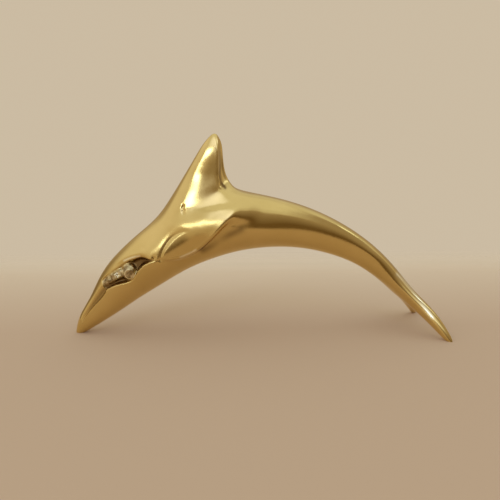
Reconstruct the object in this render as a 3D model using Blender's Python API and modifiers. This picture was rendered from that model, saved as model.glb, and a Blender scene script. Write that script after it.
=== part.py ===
"""Leaping dolphin figurine, a single solid casting in polished brass.

The figure stands on the tip of its beak and on the two tips of its flukes.
The nose points along -X, the tail along +X, and the XZ plane is its plane of symmetry.
The near half of the body, dorsal fin and flukes is one cage of four-sided faces, which
Mirror and Subdivision Surface turn into the smooth skin. The flippers and the eyes are
cages of their own, joined on by Boolean unions. The unpolished hollow round each eye
and the line of the mouth are cut in, and the three feet are filed flat.
All sizes are in millimetres, and MM turns them into metres. Lengths along the figure
are measured from the foot under the beak, and the origin lies midway between the feet.
"""

import math
from collections import namedtuple

import bmesh
import bpy
from mathutils import Vector
from mathutils.bvhtree import BVHTree

MM = 0.001
FIGURE = "dolphin"
SIDE = Vector((0.0, -1.0, 0.0))

# How fine the skin is
HALF_STEPS = 4
SKIN_LEVELS = 2
DETAIL_LEVELS = 1
MERGE = 0.0001
SHARP_ANGLE = 38.0
SLIVER = 0.03

# Body sections square to the arched spine, from the beak to the fork of the tail.
# x and z place the middle of the section, lift raises its widest point, and full is
# the fullness of its shoulders: 1 is an oval, and less makes them slope like a keel.
Section = namedtuple("Section", "x z tilt half_depth half_width lift full")
BEAK = (
    Section(-0.9, -0.8, 56.0, 1.2, 1.5, 0.0, 1.0),
    Section(3.0, 4.6, 53.0, 4.0, 3.2, 0.0, 0.98),
    Section(7.1, 8.8, 51.0, 5.5, 4.6, -0.1, 0.96),
    Section(11.3, 13.2, 49.0, 6.9, 6.0, -0.15, 0.94),
)
HEAD = (
    Section(15.5, 18.2, 47.0, 8.8, 7.4, -0.1, 0.92),
    Section(20.9, 24.0, 44.0, 10.5, 8.9, -0.05, 0.90),
    Section(27.8, 29.6, 41.0, 11.7, 10.2, -0.05, 0.88),
)
TRUNK = (
    Section(35.2, 35.4, 36.0, 12.5, 11.2, -0.1, 0.86),
    Section(43.7, 41.2, 31.0, 13.2, 12.0, -0.1, 0.86),
    Section(53.3, 46.0, 24.0, 13.9, 12.4, -0.1, 0.87),
    Section(63.3, 49.4, 15.0, 14.2, 12.2, 0.0, 0.92),
    Section(74.0, 50.9, 4.0, 13.4, 11.4, 0.05, 0.98),
)
STALK = (
    Section(87.5, 50.1, -7.0, 11.4, 10.0, 0.1, 1.0),
    Section(102.5, 47.6, -17.0, 9.4, 8.3, 0.1, 1.0),
    Section(116.6, 42.7, -26.0, 7.6, 6.6, 0.1, 1.0),
    Section(129.0, 36.3, -34.5, 6.0, 5.4, 0.1, 1.0),
    Section(138.0, 29.4, -42.0, 5.1, 5.8, 0.0, 1.0),
    Section(144.0, 23.5, -46.5, 4.4, 7.6, 0.0, 1.0),
)
FORK = Section(149.4, 17.6, -49.0, 3.9, 10.8, 0.0, 1.0)
BODY = BEAK + HEAD + TRUNK + STALK + (FORK,)

# Dorsal fin, as levels from the root up. Each level has its front and rear edge, and
# the half thickness at the front flank, the middle, the side ridge and the channel.
FIN_FRONT = 8
FIN_REAR = 11
FinLevel = namedtuple("FinLevel", "front_x front_z rear_x rear_z front mid ridge channel")
FIN = (
    FinLevel(42.4, 62.6, 71.0, 66.8, 5.0, 6.4, 6.4, 2.4),
    FinLevel(48.0, 71.0, 67.6, 71.8, 3.2, 4.3, 4.6, 1.3),
    FinLevel(53.2, 79.0, 66.6, 79.2, 2.4, 3.6, 4.1, 1.0),
    FinLevel(57.2, 85.2, 66.2, 85.0, 1.6, 2.4, 2.8, 0.9),
    FinLevel(60.6, 88.4, 64.2, 88.2, 0.8, 1.0, 1.1, 0.6),
)
FIN_CHORD = (0.16, 0.48, 0.80, 0.88)
FIN_TIP_RISE = 1.3
FIN_TIP_CHORD = (0.35, 0.70)
FIN_RIDGE_CREASE = 0.7

# Flukes, from the fork to the tips that the figure stands on
FLUKE_SPAN = 48.0
FLUKE_TIP_X = 163.6
FLUKE_TIP_Z = 0.6
NOTCH_DEPTH = 2.4
Blade = namedtuple("Blade", "lead_run lead_out trail_run trail_out half_thick bow")
FLUKE = (
    Blade(0.32, 0.64, 0.36, 0.22, 3.4, 0.8),
    Blade(0.62, 0.82, 0.66, 0.50, 3.0, 1.0),
    Blade(0.88, 0.94, 0.90, 0.74, 2.1, 0.4),
    Blade(1.08, 1.00, 1.06, 0.90, 1.2, 0.0),
)
BLADE_CHORD = (0.72, 0.30)
BLADE_THICK = (0.85, 1.0)

# Flippers, as cuts across the blade from its front to its tip. Each has its upper and
# lower edge, and how far the face stands proud of the flank at four places between.
Cut = namedtuple("Cut", "upper_x upper_z lower_x lower_z edge crown dish rim")
FLIPPER = (
    Cut(38.8, 37.2, 41.2, 33.8, 0.2, 0.9, 0.8, 0.6),
    Cut(40.2, 40.8, 46.4, 35.4, 0.3, 1.3, 1.0, 1.5),
    Cut(44.4, 45.8, 51.8, 37.6, 0.2, 1.2, 0.7, 2.0),
    Cut(49.5, 49.8, 57.8, 40.6, -0.5, 0.7, 0.6, 2.1),
    Cut(54.0, 55.0, 62.6, 46.2, -0.8, 0.1, 0.5, 1.9),
    Cut(57.6, 59.6, 67.2, 52.0, -0.9, -0.3, 0.3, 1.3),
    Cut(60.4, 63.6, 70.8, 57.2, -1.0, -0.5, 0.0, 0.7),
    Cut(62.6, 67.0, 71.6, 62.0, -1.4, -1.2, -0.8, -0.6),
)
CUT_CHORD = (0.25, 0.58, 0.88)
FLIPPER_ROOT = 3.0
RIM_UNDERCUT = 0.6
RIM_DROP = 0.6
RIM_CREASE = 0.5

# The unpolished hollow round the eye, from the corner of the mouth to the flipper
Hollow = namedtuple("Hollow", "x top bottom depth")
HOLLOW = (
    Hollow(10.4, 24.6, 18.6, 0.6),
    Hollow(13.0, 28.6, 19.8, 1.5),
    Hollow(17.6, 31.4, 22.8, 1.7),
    Hollow(22.4, 34.2, 24.6, 1.8),
    Hollow(26.6, 36.8, 25.6, 2.0),
    Hollow(29.8, 37.0, 30.6, 2.4),
    Hollow(33.6, 37.4, 33.8, 1.8),
    Hollow(39.0, 36.6, 35.0, 0.9),
)
HOLLOW_ROOM = 5.0

# The eye, as rounds along a line from behind it to the corner of the mouth
Round = namedtuple("Round", "x z radius crown")
EYE = (
    Round(28.2, 30.7, 2.0, -1.0),
    Round(26.5, 30.2, 3.6, 0.1),
    Round(24.2, 29.8, 3.9, 0.4),
    Round(21.6, 28.8, 2.6, -0.5),
    Round(18.4, 26.9, 1.9, -0.8),
    Round(15.2, 25.0, 1.6, -0.8),
    Round(12.8, 23.2, 0.9, -1.3),
)
EYE_STEPS = 8

# The line of the mouth, a groove that widens towards the hollow
Groove = namedtuple("Groove", "x z width depth")
MOUTH = (
    Groove(2.6, 7.2, 1.0, 0.4),
    Groove(4.4, 9.8, 2.0, 0.9),
    Groove(6.6, 12.9, 2.9, 1.3),
    Groove(9.0, 16.2, 3.5, 1.5),
    Groove(12.4, 20.6, 3.6, 1.6),
)
GROOVE_ROOM = 2.0
GROOVE_FOOT = 0.2
GROOVE_FLARE = 1.5

ORIGIN = Vector((FLUKE_TIP_X / 2.0, 0.0, 0.0))


def brass_material():
    """Polished yellow brass."""
    brass = bpy.data.materials.new("polished_brass")
    brass.use_nodes = True
    shader = brass.node_tree.nodes["Principled BSDF"]
    shader.inputs["Base Color"].default_value = (0.80, 0.58, 0.24, 1.0)
    shader.inputs["Metallic"].default_value = 1.0
    shader.inputs["Roughness"].default_value = 0.22
    return brass


class Cage:
    """Points and faces of a cage, gathered before they become a mesh."""

    def __init__(self):
        self.points = []
        self.faces = []
        self.creases = {}

    def add(self, points):
        first = len(self.points)
        self.points.extend(points)
        return list(range(first, first + len(points)))

    def bridge(self, near, far, closed=False):
        """Four-sided faces between two rows of as many points."""
        count = len(near)
        last = count if closed else count - 1
        for step in range(last):
            following = (step + 1) % count
            self.faces.append((near[step], near[following], far[following], far[step]))

    def tube(self, rows):
        """Closed rows of points joined into a tube with both ends capped."""
        for near, far in zip(rows, rows[1:]):
            self.bridge(near, far, closed=True)
        self.faces.append(tuple(rows[0][::-1]))
        self.faces.append(tuple(rows[-1]))

    def crease(self, one, other, value):
        self.creases[frozenset((one, other))] = value

    def to_object(self, name):
        mesh = bpy.data.meshes.new(name)
        mesh.from_pydata([(point - ORIGIN) * MM for point in self.points], [], self.faces)
        if self.creases:
            layer = mesh.attributes.new("crease_edge", "FLOAT", "EDGE")
            for edge in mesh.edges:
                layer.data[edge.index].value = self.creases.get(frozenset(edge.vertices), 0.0)
        mesh.shade_smooth()
        return bpy.data.objects.new(name, mesh)


def body_ring(section):
    """The near half of one body section, from the back down to the belly.

    The cage stands outside the skin that it gives, by as much as leaves the skin's own
    depth and width as they are written, whatever the fullness of the shoulders.
    """
    tilt = math.radians(section.tilt)
    up = Vector((-math.sin(tilt), 0.0, math.cos(tilt)))
    middle = Vector((section.x, 0.0, section.z))
    diagonal = math.cos(math.pi / HALF_STEPS)
    shoulder = section.full * 3.0 / (2.0 + diagonal)
    axis = (3.0 - diagonal * shoulder) / 2.0
    ring = []
    for step in range(HALF_STEPS + 1):
        angle = math.pi * (0.5 - step / HALF_STEPS)
        grow = shoulder if step % 2 else axis
        out = math.cos(angle)
        rise = math.sin(angle) + section.lift * out * out
        height = up * (rise * section.half_depth * grow)
        ring.append(middle + height + SIDE * (out * section.half_width * grow))
    return ring


def add_body(cage):
    """The lofted body, open along the back under the fin."""
    rings = []
    for index, section in enumerate(BODY):
        points = body_ring(section)
        under_fin = FIN_FRONT < index < FIN_REAR
        if under_fin:
            rings.append([None] + cage.add(points[1:]))
        else:
            rings.append(cage.add(points))
    for index in range(len(rings) - 1):
        opened = FIN_FRONT <= index < FIN_REAR
        first = 1 if opened else 0
        cage.bridge(rings[index][first:], rings[index + 1][first:])
    return rings


def close_beak(cage, ring):
    """The blunt end of the beak, as faces round a point on the plane of symmetry."""
    middle = (cage.points[ring[0]] + cage.points[ring[-1]]) / 2.0
    centre = cage.add([middle])[0]
    for start in range(0, HALF_STEPS, 2):
        cage.faces.append((centre, ring[start + 2], ring[start + 1], ring[start]))


def fin_ring(level):
    """The near half of one level of the dorsal fin, from its front to its rear edge."""
    front = Vector((level.front_x, 0.0, level.front_z))
    rear = Vector((level.rear_x, 0.0, level.rear_z))
    halves = (level.front, level.mid, level.ridge, level.channel)
    flank = [front.lerp(rear, share) + SIDE * half for share, half in zip(FIN_CHORD, halves)]
    return [front] + flank + [rear]


def add_fin(cage, rings):
    """The dorsal fin, grown from the hole along the back."""
    rim = [rings[FIN_FRONT][0]]
    rim += [rings[index][1] for index in range(FIN_FRONT, FIN_REAR + 1)]
    rim.append(rings[FIN_REAR][0])
    levels = [rim] + [cage.add(fin_ring(level)) for level in FIN]
    ridge = 1 + ("front", "mid", "ridge", "channel").index("ridge")
    for lower, upper in zip(levels, levels[1:]):
        cage.bridge(lower, upper)
    for lower, upper in zip(levels[1:], levels[2:]):
        cage.crease(lower[ridge], upper[ridge], FIN_RIDGE_CREASE)
    close_fin(cage, levels[-1])


def close_fin(cage, ring):
    """The top of the fin, as three faces that meet the plane of symmetry."""
    front, rear = cage.points[ring[0]], cage.points[ring[-1]]
    rise = Vector((0.0, 0.0, FIN_TIP_RISE))
    ahead, behind = cage.add([front.lerp(rear, share) + rise for share in FIN_TIP_CHORD])
    cage.faces.append((ring[0], ring[1], ring[2], ahead))
    cage.faces.append((ahead, ring[2], ring[3], behind))
    cage.faces.append((behind, ring[3], ring[4], ring[5]))


def fluke_frame():
    """The fork, the way from it to the tips, and the direction square to the blade."""
    fork = Vector((FORK.x, 0.0, FORK.z))
    run = Vector((FLUKE_TIP_X, 0.0, FLUKE_TIP_Z)) - fork
    up = Vector((-run.z, 0.0, run.x)).normalized()
    return fork, run, up


def fluke_ring(blade):
    """One closed section of the near fluke, in the order of a body ring, then its rear edge."""
    fork, run, up = fluke_frame()
    half_span = FLUKE_SPAN / 2.0
    bow = up * blade.bow
    lead = fork + run * blade.lead_run + SIDE * (blade.lead_out * half_span) + bow
    trail = fork + run * blade.trail_run + SIDE * (blade.trail_out * half_span) + bow
    upper = []
    lower = []
    for share, thick in zip(BLADE_CHORD, BLADE_THICK):
        point = lead.lerp(trail, share)
        upper.append(point + up * (thick * blade.half_thick))
        lower.append(point - up * (thick * blade.half_thick))
    return upper + [lead] + lower[::-1] + [trail]


def add_fluke(cage, fork_ring):
    """The near fluke, which leaves the half ring at the fork as a closed blade."""
    fork, run, up = fluke_frame()
    notch = cage.add([fork + run.normalized() * NOTCH_DEPTH])
    rings = [fork_ring + notch] + [cage.add(fluke_ring(blade)) for blade in FLUKE]
    for near, far in zip(rings, rings[1:]):
        cage.bridge(near, far, closed=True)
    upper_rear, upper_lead, lead, lower_lead, lower_rear, trail = rings[-1]
    cage.faces.append((upper_rear, upper_lead, lower_lead, lower_rear))
    cage.faces.append((upper_lead, lead, lower_lead))
    cage.faces.append((trail, upper_rear, lower_rear))


def mirrored(piece):
    mirror = piece.modifiers.new("other_side", "MIRROR")
    mirror.use_axis = (False, True, False)
    mirror.merge_threshold = MERGE


def smoothed(piece, levels):
    skin = piece.modifiers.new("skin", "SUBSURF")
    skin.levels = levels
    skin.render_levels = levels


def build_skin():
    """Body, fin and flukes in one cage."""
    cage = Cage()
    rings = add_body(cage)
    close_beak(cage, rings[0])
    add_fin(cage, rings)
    add_fluke(cage, rings[-1])
    skin = cage.to_object(FIGURE)
    mirrored(skin)
    smoothed(skin, SKIN_LEVELS)
    return skin


class Flank:
    """The near side of the finished skin, which the details are seated on."""

    def __init__(self, skin):
        bpy.context.view_layer.update()
        self.tree = BVHTree.FromObject(skin, bpy.context.evaluated_depsgraph_get())

    def at(self, x, z, proud=0.0):
        """The point of the skin beside x and z, moved out of it by proud."""
        start = (Vector((x, 0.0, z)) + SIDE * FLUKE_SPAN - ORIGIN) * MM
        place, normal, index, distance = self.tree.ray_cast(start, -SIDE)
        if place is None:
            # Beyond the outline, the nearest point of the skin takes its place
            beside = (Vector((x, 0.0, z)) - ORIGIN) * MM
            place, normal, index, distance = self.tree.find_nearest(beside)
        return place / MM + ORIGIN + normal * proud


def build_flipper(flank):
    """A swept blade with a crisp lower rim, which sinks into the flank along its upper edge."""
    cage = Cage()
    rows = []
    for cut in FLIPPER:
        upper = Vector((cut.upper_x, cut.upper_z))
        lower = Vector((cut.lower_x, cut.lower_z))
        spots = [upper] + [upper.lerp(lower, share) for share in CUT_CHORD]
        heights = (cut.edge, cut.crown, cut.dish, cut.rim)
        face = [flank.at(spot.x, spot.y, height) for spot, height in zip(spots, heights)]
        root = [flank.at(spot.x, spot.y, -FLIPPER_ROOT) for spot in spots[::-1]]
        rim = flank.at(lower.x, lower.y, cut.rim * RIM_UNDERCUT - RIM_DROP)
        rows.append(cage.add(face + [rim] + root))
    cage.tube(rows)
    lip = len(CUT_CHORD)
    for near, far in zip(rows, rows[1:]):
        cage.crease(near[lip], far[lip], RIM_CREASE)
    return finish_detail(cage, "flipper_shape")


def finish_detail(cage, name):
    detail = cage.to_object(name)
    mirrored(detail)
    smoothed(detail, DETAIL_LEVELS)
    return detail


def build_hollow(flank):
    """The cutter for the hollow round the eye, whose floor follows the flank."""
    cage = Cage()
    rows = []
    for cut in HOLLOW:
        heights = (cut.bottom, (cut.top + cut.bottom) / 2.0, cut.top)
        skin = [flank.at(cut.x, z) for z in heights]
        floor = [spot - SIDE * cut.depth for spot in skin]
        outside = [spot + SIDE * HOLLOW_ROOM for spot in skin[::-1]]
        rows.append(cage.add([skin[0]] + floor + [skin[-1]] + outside))
    cage.tube(rows)
    return finish_detail(cage, "hollow_shape")


def across_line(line, index):
    """The direction across a line of cuts, level with the plane of symmetry."""
    ahead = line[min(index + 1, len(line) - 1)]
    behind = line[max(index - 1, 0)]
    along = Vector((ahead.x - behind.x, 0.0, ahead.z - behind.z)).normalized()
    return Vector((-along.z, 0.0, along.x))


def build_eye(flank):
    """The eye and the fold that runs from it to the corner of the mouth."""
    cage = Cage()
    rows = []
    for index, cut in enumerate(EYE):
        across = across_line(EYE, index)
        middle = flank.at(cut.x, cut.z) + SIDE * (cut.crown - cut.radius)
        row = []
        for step in range(EYE_STEPS):
            angle = 2.0 * math.pi * step / EYE_STEPS
            row.append(middle + (across * math.cos(angle) + SIDE * math.sin(angle)) * cut.radius)
        rows.append(cage.add(row))
    cage.tube(rows)
    return finish_detail(cage, "eye_shape")


def build_mouth(flank):
    """The cutter for the line of the mouth, a wedge along the side of the beak."""
    cage = Cage()
    rows = []
    for index, cut in enumerate(MOUTH):
        half = across_line(MOUTH, index) * (cut.width / 2.0)
        foot = flank.at(cut.x, cut.z, -cut.depth)
        surface = flank.at(cut.x, cut.z)
        outer = surface + SIDE * GROOVE_ROOM
        lower = [foot - half * GROOVE_FOOT, foot + half * GROOVE_FOOT]
        upper = [surface + half, outer + half * GROOVE_FLARE]
        rows.append(cage.add(lower + upper + [outer - half * GROOVE_FLARE, surface - half]))
    cage.tube(rows)
    return finish_detail(cage, "mouth_shape")


def build_floor():
    """The block below the floor, wider than the figure, which files the three feet flat."""
    bpy.ops.mesh.primitive_cube_add(size=1.0)
    block = bpy.context.object
    block.name = "floor_shape"
    depth = FLUKE_SPAN
    block.scale = Vector((FLUKE_TIP_X * 1.5, FLUKE_SPAN * 2.0, depth)) * MM
    block.location = (0.0, 0.0, -depth * MM / 2.0)
    for owner in list(block.users_collection):
        owner.objects.unlink(block)
    return block


def combine(figure, tool, operation):
    """Joins a shape to the figure, or cuts it away."""
    step = figure.modifiers.new(tool.name, "BOOLEAN")
    step.object = tool
    step.operation = operation


def tidied(mesh):
    """Slivers that the Booleans leave are closed up, and every face ends as triangles."""
    work = bmesh.new()
    work.from_mesh(mesh)
    bmesh.ops.remove_doubles(work, verts=work.verts, dist=SLIVER * MM)
    bmesh.ops.dissolve_degenerate(work, edges=work.edges, dist=SLIVER * MM)
    bmesh.ops.triangulate(work, faces=work.faces)
    bmesh.ops.recalc_face_normals(work, faces=work.faces)
    work.to_mesh(mesh)
    work.free()


def applied(figure):
    """The figure with its steps applied, smooth apart from its true edges."""
    bpy.context.view_layer.update()
    steps_done = figure.evaluated_get(bpy.context.evaluated_depsgraph_get())
    mesh = bpy.data.meshes.new_from_object(steps_done)
    tidied(mesh)
    mesh.shade_smooth()
    mesh.set_sharp_from_angle(angle=math.radians(SHARP_ANGLE))
    figure.modifiers.clear()
    figure.data = mesh


def clear_scene():
    for item in list(bpy.data.objects):
        bpy.data.objects.remove(item, do_unlink=True)


def new_collection(name):
    group = bpy.data.collections.new(name)
    bpy.context.scene.collection.children.link(group)
    return group


def main():
    clear_scene()
    figures = new_collection("dolphin_figurine")
    cutters = new_collection("cutters")
    figure = build_skin()
    figures.objects.link(figure)
    flank = Flank(figure)
    steps = (
        (build_flipper(flank), "UNION"),
        (build_hollow(flank), "DIFFERENCE"),
        (build_eye(flank), "UNION"),
        (build_mouth(flank), "DIFFERENCE"),
        (build_floor(), "DIFFERENCE"),
    )
    for tool, operation in steps:
        cutters.objects.link(tool)
        tool.hide_render = True
        tool.display_type = "WIRE"
        combine(figure, tool, operation)
    applied(figure)
    figure.data.materials.append(brass_material())


main()
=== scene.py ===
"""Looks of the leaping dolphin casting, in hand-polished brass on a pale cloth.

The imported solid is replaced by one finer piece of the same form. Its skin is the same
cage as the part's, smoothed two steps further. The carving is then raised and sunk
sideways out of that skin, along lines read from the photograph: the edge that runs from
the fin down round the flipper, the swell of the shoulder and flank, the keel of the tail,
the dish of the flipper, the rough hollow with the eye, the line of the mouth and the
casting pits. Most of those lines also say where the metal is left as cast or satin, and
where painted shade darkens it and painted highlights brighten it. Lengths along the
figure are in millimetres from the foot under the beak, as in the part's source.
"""

import math
from collections import namedtuple
from functools import reduce

import bmesh
import bpy
import numpy as np
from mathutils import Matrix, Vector, noise
from mathutils.bvhtree import BVHTree


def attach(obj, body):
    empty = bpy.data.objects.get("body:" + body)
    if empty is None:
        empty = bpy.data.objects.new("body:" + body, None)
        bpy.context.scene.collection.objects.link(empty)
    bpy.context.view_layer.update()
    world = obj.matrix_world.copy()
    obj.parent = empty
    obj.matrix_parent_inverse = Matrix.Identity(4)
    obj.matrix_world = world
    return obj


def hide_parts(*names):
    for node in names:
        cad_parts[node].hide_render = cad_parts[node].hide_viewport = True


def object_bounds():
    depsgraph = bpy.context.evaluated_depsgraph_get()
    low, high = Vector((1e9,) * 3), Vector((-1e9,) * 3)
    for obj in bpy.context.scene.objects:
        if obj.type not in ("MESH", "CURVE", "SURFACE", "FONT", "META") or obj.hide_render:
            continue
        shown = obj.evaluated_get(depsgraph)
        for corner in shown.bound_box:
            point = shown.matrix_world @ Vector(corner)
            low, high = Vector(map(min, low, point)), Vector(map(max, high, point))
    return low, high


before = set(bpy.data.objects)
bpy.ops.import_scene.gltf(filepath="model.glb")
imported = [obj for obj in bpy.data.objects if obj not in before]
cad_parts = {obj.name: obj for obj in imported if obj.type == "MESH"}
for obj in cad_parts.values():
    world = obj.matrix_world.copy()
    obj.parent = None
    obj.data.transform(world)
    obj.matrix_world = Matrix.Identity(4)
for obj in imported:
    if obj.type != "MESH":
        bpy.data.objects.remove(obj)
cad_low, cad_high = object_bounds()

# The skin: steps round half a body section, the merging distance at the plane of symmetry,
# how often the mesh and the form that its points move onto are smoothed, and how the
# carved surface is evened out
MM = 0.001
SIDE = Vector((0.0, -1.0, 0.0))
HALF_STEPS = 4
MERGE = 0.0001
SKIN_LEVELS = 4
TRUE_LEVELS = 5
RELAX_ROUNDS = 6
RELAX_STEP = 0.5

# The metal: two tones of the polished brass, two of the unpolished mass in the hollow,
# the painted shade in the hollows and grooves and the painted highlights along edges
BRASS_LIGHT = (0.77, 0.57, 0.22)
BRASS_DEEP = (0.71, 0.52, 0.19)
CAST_PALE = (0.72, 0.60, 0.36)
CAST_DARK = (0.32, 0.23, 0.11)
# Painted shade: a dark brown for the hollow, the mouth's line, the pocket and the fin's channel,
# and how far it covers
SHADE_BROWN = (0.17, 0.095, 0.035)
SHADE_COVER = 0.95
# Painted highlight: a pale colour along the hollow's lip, the flipper's rim, a fluke and the eye
HIGHLIGHT_PALE = (1.0, 0.90, 0.62)

# Roughness of the polish at its best and its most smeared, and of the other metal
POLISH = (0.11, 0.18)
CAST_ROUGHNESS = 0.24
RECESS_ROUGHNESS = 0.34
SATIN_ROUGHNESS = 0.27
BUMP_HEIGHT = 0.00006
CAST_GRAIN_HEIGHT = 1.2

# Noise in the metal: scale over a metre, detail and roughness. Three of them change the
# metal between two values of the noise
CLOUDS = (60.0, 4.0, 0.55)
CLOUD_EDGE = (0.35, 0.7)
CAST_PATCHES = (450.0, 3.0, 0.5)
PATCH_EDGE = (0.40, 0.60)
SMEARS = (90.0, 5.0, 0.6)
SMEAR_EDGE = (0.3, 0.75)
WAVES = (110.0, 2.0, 0.4)
CAST_GRAIN = (900.0, 3.0, 0.6)

# The cloth near the figure and far off, the half side of its square, and the distances in
# metres between which it grows paler and fades out, behind, before and all round
CLOTH_NEAR = (0.60, 0.44, 0.30)
CLOTH_FAR = (0.80, 0.66, 0.48)
CLOTH_ROUGHNESS = 0.95
CLOTH_REACH = 3.0
CLOTH_PALER = (0.0, 0.16)
CLOTH_FADE_BEHIND = (0.12, 0.20)
CLOTH_FADE_BEFORE = (-0.27, -0.13)
CLOTH_FADE_ROUND = (0.30, 0.60)

# The room: the wall, its paler parts and the glow above the window, with its angle round
# from the camera and up and the cosines between which it fades. A patch of the room is a
# product of ramps along the way into it: the axis, two ends, and the strength at each end
WALL = (0.60, 0.50, 0.365)
LEFT_WALL = (0.84, 0.80, 0.75)
LEFT_WALL_PATCH = (("X", -0.72, -0.45, 1.0, 0.0), ("Z", 0.30, 0.60, 0.0, 1.0))
CEILING = (0.72, 0.72, 0.66)
CEILING_PATCH = (("Z", 0.40, 0.62, 0.0, 1.0),)
GLOW = (1.30, 1.42, 1.90)
GLOW_ANGLE = (-12.0, 40.0)
GLOW_EDGE = (0.93, 0.998)

# The unlit parts of the room, with their tone low down and higher up: behind the camera,
# on the left, on the right and, half dark, at the rear
UNLIT_LOW = (0.15, 0.095, 0.04)
UNLIT_HIGH = (0.35, 0.28, 0.20)
UNLIT_RISE = (0.0, 0.45)
UNLIT_DISTANCE = 0.9
UNLIT_PATCHES = (
    (("Y", -0.30, 0.05, 1.0, 0.0), ("X", -0.42, -0.28, 0.0, 1.0), ("Z", 0.50, 0.57, 1.0, 0.0)),
    (("Y", 0.0, 0.35, 0.0, 0.85), ("X", -0.85, -0.45, 1.0, 0.0), ("Z", 0.47, 0.62, 1.0, 0.0)),
    (("Y", 0.0, 0.15, 1.0, 0.0), ("X", 0.42, 0.62, 0.0, 0.9), ("Z", 0.76, 0.90, 1.0, 0.0)),
    (("Y", 0.2, 0.4, 0.0, 0.5), ("Z", 0.55, 0.75, 1.0, 0.0)),
)

# Lamps: name, degrees round from the camera (left is minus) and up, size, and brightness
LAMPS = (
    ("window", -32.5, 27.5, (0.19, 0.10), 4.6),
    ("top_lamp", 20.0, 75.0, (0.90, 0.90), 0.12),
    ("rear_lamp", 100.0, 39.0, (0.10, 0.10), 1.2),
)
LAMP_DISTANCE = 0.8
DAYLIGHT = (0.72, 0.87, 1.0)
MIDDLE = Vector((0.0, 0.0, 0.05))

# The phone's camera: sensor and lens in mm, its place, and its degrees up from straight
# down and round
SENSOR_WIDTH = 36.0
LENS = 39.6
CAMERA_PLACE = (-0.0179, -0.2457, 0.0812)
CAMERA_TILT = 79.9
CAMERA_TURN = -3.3

# The cage of the skin, with the sections and levels of the part's source
Section = namedtuple("Section", "x z tilt half_depth half_width lift full")
BODY = (
    Section(-0.9, -0.8, 56.0, 1.2, 1.5, 0.0, 1.0),
    Section(3.0, 4.6, 53.0, 4.0, 3.2, 0.0, 0.98),
    Section(7.1, 8.8, 51.0, 5.5, 4.6, -0.1, 0.96),
    Section(11.3, 13.2, 49.0, 6.9, 6.0, -0.15, 0.94),
    Section(15.5, 18.2, 47.0, 8.8, 7.4, -0.1, 0.92),
    Section(20.9, 24.0, 44.0, 10.5, 8.9, -0.05, 0.90),
    Section(27.8, 29.6, 41.0, 11.7, 10.2, -0.05, 0.88),
    Section(35.2, 35.4, 36.0, 12.5, 11.2, -0.1, 0.86),
    Section(43.7, 41.2, 31.0, 13.2, 12.0, -0.1, 0.86),
    Section(53.3, 46.0, 24.0, 13.9, 12.4, -0.1, 0.87),
    Section(63.3, 49.4, 15.0, 14.2, 12.2, 0.0, 0.92),
    Section(74.0, 50.9, 4.0, 13.4, 11.4, 0.05, 0.98),
    Section(87.5, 50.1, -7.0, 11.4, 10.0, 0.1, 1.0),
    Section(102.5, 47.6, -17.0, 9.4, 8.3, 0.1, 1.0),
    Section(116.6, 42.7, -26.0, 7.6, 6.6, 0.1, 1.0),
    Section(129.0, 36.3, -34.5, 6.0, 5.4, 0.1, 1.0),
    Section(138.0, 29.4, -42.0, 5.1, 5.8, 0.0, 1.0),
    Section(144.0, 23.5, -46.5, 4.4, 7.6, 0.0, 1.0),
    Section(149.4, 17.6, -49.0, 3.9, 10.8, 0.0, 1.0),
)
FORK = BODY[-1]

FIN_FRONT = 8
FIN_REAR = 11
FinLevel = namedtuple("FinLevel", "front_x front_z rear_x rear_z front mid ridge channel")
FIN = (
    FinLevel(42.4, 62.6, 71.0, 66.8, 5.0, 6.4, 6.4, 2.4),
    FinLevel(48.0, 71.0, 67.6, 71.8, 3.2, 4.3, 4.6, 1.3),
    FinLevel(53.2, 79.0, 66.6, 79.2, 2.4, 3.6, 4.1, 1.0),
    FinLevel(57.2, 85.2, 66.2, 85.0, 1.6, 2.4, 2.8, 0.9),
    FinLevel(60.6, 88.4, 64.2, 88.2, 0.8, 1.0, 1.1, 0.6),
)
FIN_CHORD = (0.16, 0.48, 0.80, 0.88)
FIN_TIP_RISE = 1.3
FIN_TIP_CHORD = (0.35, 0.70)
FIN_RIDGE = 3
FIN_RIDGE_CREASE = 0.7

FLUKE_SPAN = 48.0
FLUKE_TIP_X = 163.6
FLUKE_TIP_Z = 0.6
NOTCH_DEPTH = 2.4
Blade = namedtuple("Blade", "lead_run lead_out trail_run trail_out half_thick bow")
FLUKE = (
    Blade(0.32, 0.64, 0.36, 0.22, 3.4, 0.8),
    Blade(0.62, 0.82, 0.66, 0.50, 3.0, 1.0),
    Blade(0.88, 0.94, 0.90, 0.74, 2.1, 0.4),
    Blade(1.08, 1.00, 1.06, 0.90, 1.2, 0.0),
)
BLADE_CHORD = (0.72, 0.30)
BLADE_THICK = (0.85, 1.0)

ORIGIN = Vector((FLUKE_TIP_X / 2.0, 0.0, 0.0))


class Cage:
    """Points and faces of a cage, gathered before they become a mesh."""

    def __init__(self):
        self.points = []
        self.faces = []
        self.creases = {}

    def add(self, points):
        first = len(self.points)
        self.points.extend(points)
        return list(range(first, first + len(points)))

    def bridge(self, near, far, closed=False):
        """Four-sided faces between two rows of as many points."""
        count = len(near)
        last = count if closed else count - 1
        for step in range(last):
            following = (step + 1) % count
            self.faces.append((near[step], near[following], far[following], far[step]))

    def crease(self, one, other, value):
        self.creases[frozenset((one, other))] = value

    def to_object(self, name):
        mesh = bpy.data.meshes.new(name)
        mesh.from_pydata([(point - ORIGIN) * MM for point in self.points], [], self.faces)
        layer = mesh.attributes.new("crease_edge", "FLOAT", "EDGE")
        for edge in mesh.edges:
            layer.data[edge.index].value = self.creases.get(frozenset(edge.vertices), 0.0)
        return bpy.data.objects.new(name, mesh)


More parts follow.
